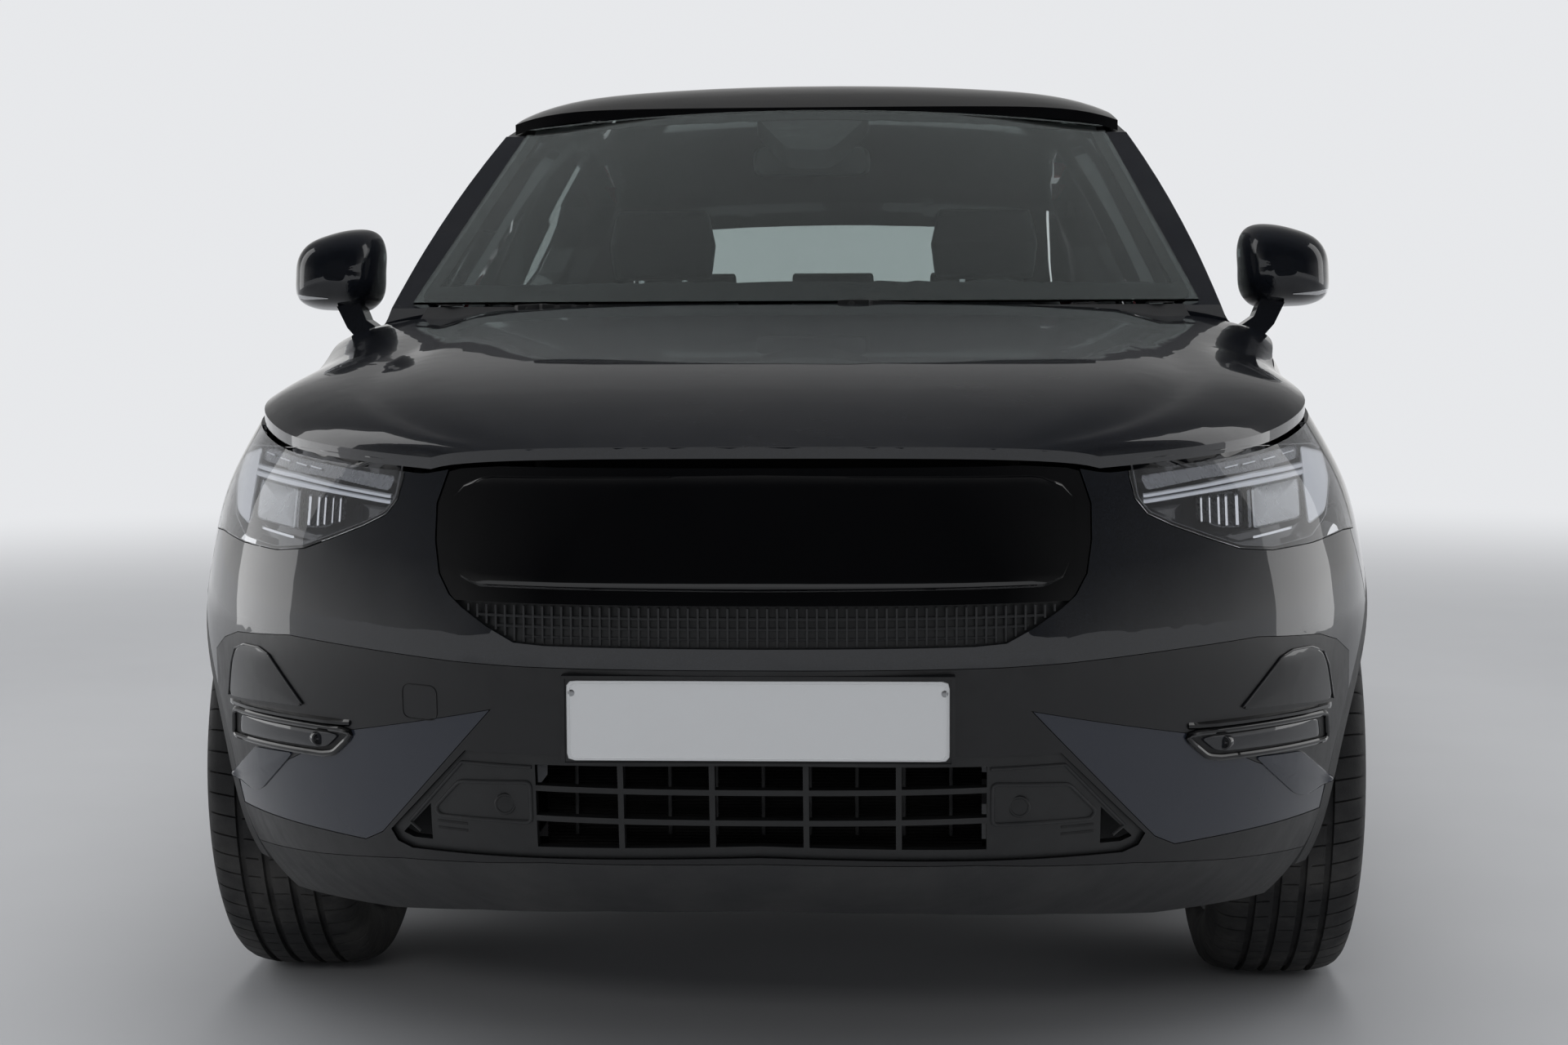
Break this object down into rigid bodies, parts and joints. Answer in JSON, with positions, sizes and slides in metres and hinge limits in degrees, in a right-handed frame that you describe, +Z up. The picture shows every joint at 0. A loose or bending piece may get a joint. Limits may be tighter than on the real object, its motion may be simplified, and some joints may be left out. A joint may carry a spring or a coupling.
{
  "type": "electric crossover",
  "caption": "Five-door battery electric crossover with opening doors, bonnet and tailgate, steered front wheels and a furnished cabin.",
  "frame": {"origin": "on the road under the middle of the car: centre of the box, at its base", "axes": "+X to the left side of the car, -Y to the front, +Z up"},
  "size_m": [2.0404, 4.4428, 1.5957],
  "materials": {
    "paint": "gloss metallic black paint",
    "roof_black": "gloss black",
    "gloss_black": "high gloss",
    "gloss_grey": "satin gloss",
    "matt_black": "fine grain",
    "glass": "clear tint",
    "lamp_clear": "clear",
    "lamp_inner": "bright",
    "lamp_red": "clear red",
    "steel": "coated",
    "aluminium": "cast",
    "rim": "turned and painted",
    "tyre": "rubber",
    "trim_cloth": "woven",
    "cabin_plastic": "soft grain"
  },
  "bodies": {
    "root": {"arch_liners": "matt_black", "battery_pack": "aluminium", "body_sides": "paint", "cowl": "matt_black", "dashboard": "cabin_plastic", "door_frames": "paint", "drive_units": "aluminium", "floor_pan": "steel", "front_blades": "gloss_grey", "front_bumper": "paint", "front_grilles": "matt_black", "front_lower_trim": "gloss_black", "front_seats": "trim_cloth", "front_skirt": "matt_black", "front_suspension": "steel", "front_trunk": "cabin_plastic", "front_wings": "paint", "grille_panel": "gloss_black", "headlamp_housings": "lamp_inner", "headlamp_lenses": "lamp_clear", "rear_bumper": "paint", "rear_seat": "trim_cloth", "rear_skirt": "matt_black", "rear_suspension": "steel", "roof_panel": "roof_black", "side_cladding": "matt_black", "tail_lamps": "lamp_red", "windscreen": "glass"},
    "door_front_left_body": {"door_front_left": "paint", "glass_front_left": "glass", "mirror_left": "paint"},
    "wheel_front_left": {"tyre_front_left": "tyre", "rim_front_left": "rim"},
    "door_rear_left_body": {"door_rear_left": "paint", "glass_rear_left": "glass"},
    "wheel_rear_left": {"tyre_rear_left": "tyre", "rim_rear_left": "rim"},
    "steering_left": {"knuckle_left": "steel"},
    "door_front_right_body": {"door_front_right": "paint", "glass_front_right": "glass", "mirror_right": "paint"},
    "wheel_front_right": {"tyre_front_right": "tyre", "rim_front_right": "rim"},
    "door_rear_right_body": {"door_rear_right": "paint", "glass_rear_right": "glass"},
    "wheel_rear_right": {"tyre_rear_right": "tyre", "rim_rear_right": "rim"},
    "steering_right": {"knuckle_right": "steel"},
    "bonnet_body": {"bonnet": "paint"},
    "tailgate_body": {"tailgate": "paint", "tailgate_glass": "glass"},
    "steering_wheel_body": {"steering_wheel": "cabin_plastic"}
  },
  "joints": [
    {"name": "steer_left", "type": "hinge", "parent": "root", "child": "steering_left", "pos_m": [0.713, -1.348, 0.235], "axis": [-0.1718, 0, 0.9851], "range_deg": [-32, 32]},
    {"name": "wheel_front_left_spin", "type": "hinge", "parent": "steering_left", "child": "wheel_front_left", "pos_m": [0.795, -1.348, 0.358], "axis": [1, 0, 0], "continuous": true},
    {"name": "wheel_rear_left_spin", "type": "hinge", "parent": "root", "child": "wheel_rear_left", "pos_m": [0.795, 1.354, 0.356], "axis": [1, 0, 0], "continuous": true},
    {"name": "door_front_left_hinge", "type": "hinge", "parent": "root", "child": "door_front_left_body", "pos_m": [0.90245, -0.727, 0.8], "axis": [0, 0, -1], "range_deg": [0, 62]},
    {"name": "door_rear_left_hinge", "type": "hinge", "parent": "root", "child": "door_rear_left_body", "pos_m": [0.90131, 0.2565, 0.8], "axis": [0, 0, -1], "range_deg": [0, 62]},
    {"name": "steer_right", "type": "hinge", "parent": "root", "child": "steering_right", "pos_m": [-0.713, -1.348, 0.235], "axis": [0.1718, 0, 0.9851], "range_deg": [-32, 32]},
    {"name": "wheel_front_right_spin", "type": "hinge", "parent": "steering_right", "child": "wheel_front_right", "pos_m": [-0.795, -1.348, 0.358], "axis": [1, 0, 0], "continuous": true},
    {"name": "wheel_rear_right_spin", "type": "hinge", "parent": "root", "child": "wheel_rear_right", "pos_m": [-0.795, 1.354, 0.356], "axis": [1, 0, 0], "continuous": true},
    {"name": "door_front_right_hinge", "type": "hinge", "parent": "root", "child": "door_front_right_body", "pos_m": [-0.90245, -0.727, 0.8], "axis": [0, 0, 1], "range_deg": [0, 62]},
    {"name": "door_rear_right_hinge", "type": "hinge", "parent": "root", "child": "door_rear_right_body", "pos_m": [-0.90131, 0.2565, 0.8], "axis": [0, 0, 1], "range_deg": [0, 62]},
    {"name": "bonnet_hinge", "type": "hinge", "parent": "root", "child": "bonnet_body", "pos_m": [0, -0.79, 1.02], "axis": [-1, 0, 0], "range_deg": [0, 45]},
    {"name": "tailgate_hinge", "type": "hinge", "parent": "root", "child": "tailgate_body", "pos_m": [0, 1.466, 1.391], "axis": [1, 0, 0], "range_deg": [0, 75]},
    {"name": "steering_wheel_turn", "type": "hinge", "parent": "root", "child": "steering_wheel_body", "pos_m": [0.37, -0.33, 0.985], "axis": [0, 0.9061, 0.423], "range_deg": [-450, 450]}
  ],
  "couplings": [
    {"joint": "steer_right", "follows": "steer_left", "ratio": 1},
    {"joint": "steering_wheel_turn", "follows": "steer_left", "ratio": 14}
  ]
}
